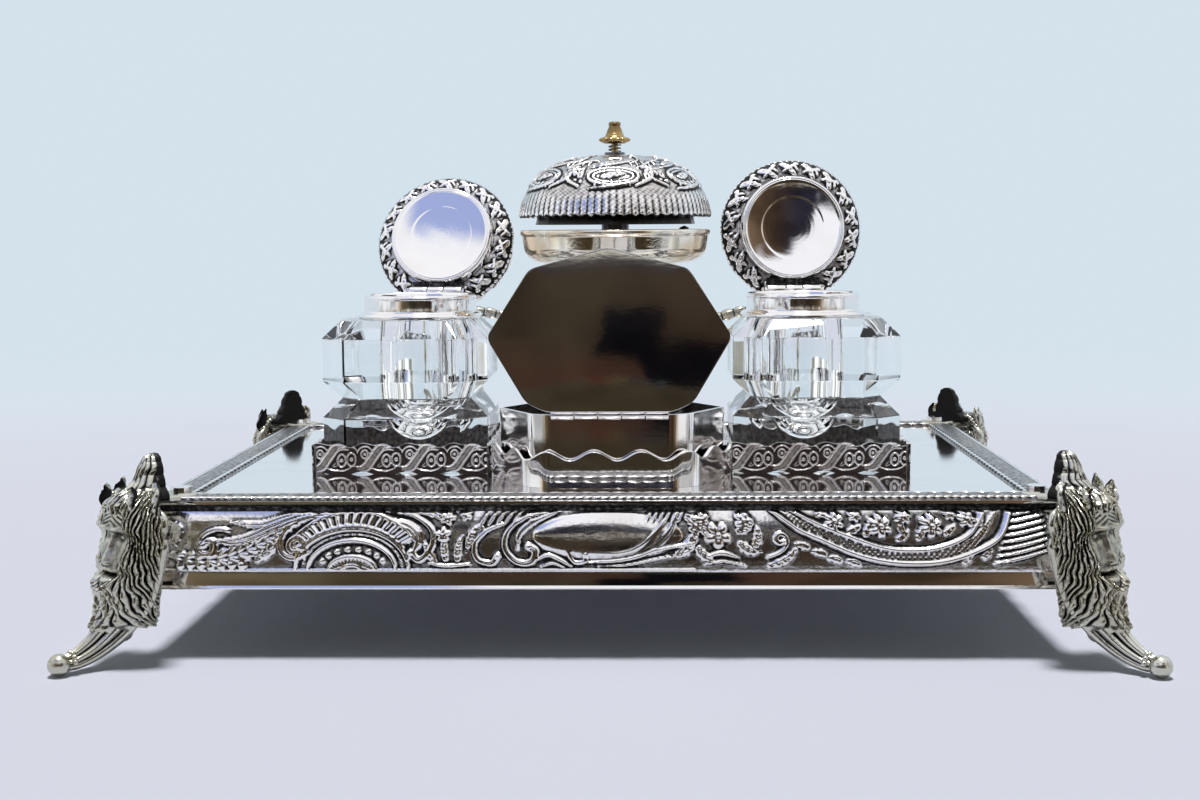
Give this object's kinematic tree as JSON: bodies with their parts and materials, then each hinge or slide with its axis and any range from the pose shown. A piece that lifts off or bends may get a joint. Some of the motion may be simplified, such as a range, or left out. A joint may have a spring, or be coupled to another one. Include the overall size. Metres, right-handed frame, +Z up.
{
  "type": "silver inkstand",
  "caption": "Footed silver inkstand: chased tray on lion mask feet, cut glass ink bottles with hinged domed lids, lidded box, desk bell and pen rest.",
  "frame": {"origin": "on the table under the middle of the tray, at the bottom centre of the whole object", "axes": "+X to the user's right along the tray's long side, +Y away from the user, +Z up"},
  "size_m": [0.298, 0.224, 0.1527],
  "materials": {
    "polished_silver": "mirror polished with fine age wear",
    "chased_silver": "chased and oxidised in the recesses, polished on the high points",
    "cast_silver": "cast and chased, dark in the recesses",
    "cut_glass": "clear, cut and polished",
    "gilt_brass": "worn polish",
    "dark_steel": "dull, dark with age",
    "bell_metal": "nickelled, dull"
  },
  "bodies": {
    "stand": {"tray_shell": "polished_silver", "rope_border_front": "chased_silver", "rope_border_rear": "chased_silver", "rope_border_left": "chased_silver", "rope_border_right": "chased_silver", "foot_front_left": "cast_silver", "foot_front_right": "cast_silver", "foot_rear_right": "cast_silver", "foot_rear_left": "cast_silver", "foot_screw_front_left": "polished_silver", "foot_screw_front_right": "polished_silver", "foot_screw_rear_right": "polished_silver", "foot_screw_rear_left": "polished_silver", "foot_nut_front_left": "dark_steel", "foot_nut_front_right": "dark_steel", "foot_nut_rear_right": "dark_steel", "foot_nut_rear_left": "dark_steel", "gallery_left": "cast_silver", "gallery_right": "cast_silver", "box_gallery": "polished_silver", "bell_pillar": "polished_silver", "bell_pillar_nut": "dark_steel", "bell_cup": "polished_silver", "bell_post": "dark_steel", "hammer_pin": "dark_steel", "bell_gong": "bell_metal", "bell_cover": "chased_silver", "bell_cover_nut": "dark_steel", "knob_spring": "dark_steel", "pen_post_left": "cast_silver", "pen_post_right": "cast_silver", "pen_nut_left": "dark_steel", "pen_nut_right": "dark_steel", "pen_rail": "cast_silver"},
    "left_bottle": {"bottle_left": "cut_glass", "collar_left": "polished_silver", "lid_pin_left": "polished_silver"},
    "right_bottle": {"bottle_right": "cut_glass", "collar_right": "polished_silver", "lid_pin_right": "polished_silver"},
    "left_lid": {"lid_dish_left": "polished_silver", "lid_dome_left": "chased_silver"},
    "right_lid": {"lid_dish_right": "polished_silver", "lid_dome_right": "chased_silver"},
    "box": {"box_body": "polished_silver", "box_hinge_pin": "polished_silver"},
    "box_cover": {"box_lid": "polished_silver"},
    "push_knob": {"bell_knob": "gilt_brass"},
    "hammer": {"bell_hammer": "dark_steel"}
  },
  "joints": [
    {"name": "left_bottle_lift", "type": "slide", "parent": "stand", "child": "left_bottle", "axis": [0, 0, 1], "range_m": [0, 0.06]},
    {"name": "right_bottle_lift", "type": "slide", "parent": "stand", "child": "right_bottle", "axis": [0, 0, 1], "range_m": [0, 0.06]},
    {"name": "left_lid_hinge", "type": "hinge", "parent": "left_bottle", "child": "left_lid", "pos_m": [-0.05837, 0.00797, 0.0979], "axis": [0.9936, -0.1132, 0], "range_deg": [0, 112]},
    {"name": "right_lid_hinge", "type": "hinge", "parent": "right_bottle", "child": "right_lid", "pos_m": [0.0598, 0.00808, 0.0979], "axis": [0.999, 0.0436, 0], "range_deg": [0, 97]},
    {"name": "box_lift", "type": "slide", "parent": "stand", "child": "box", "axis": [0, 0, 1], "range_m": [0, 0.03]},
    {"name": "box_lid_hinge", "type": "hinge", "parent": "box", "child": "box_cover", "pos_m": [0.0008, -0.0669, 0.0653], "axis": [-1, 0, 0], "range_deg": [0, 92]},
    {"name": "knob_push", "type": "slide", "parent": "stand", "child": "push_knob", "axis": [0, 0, -1], "range_m": [0, 0.0012], "stiffness_N_per_m": 350, "springref_m": -0.002, "deforming": ["knob_spring"]},
    {"name": "hammer_swing", "type": "hinge", "parent": "stand", "child": "hammer", "pos_m": [0.0084, 0.004, 0.1134], "axis": [0, -1, 0], "range_deg": [0, 10]}
  ],
  "couplings": [
    {"joint": "hammer_swing", "follows": "knob_push", "rad_per_m": 138.9}
  ]
}
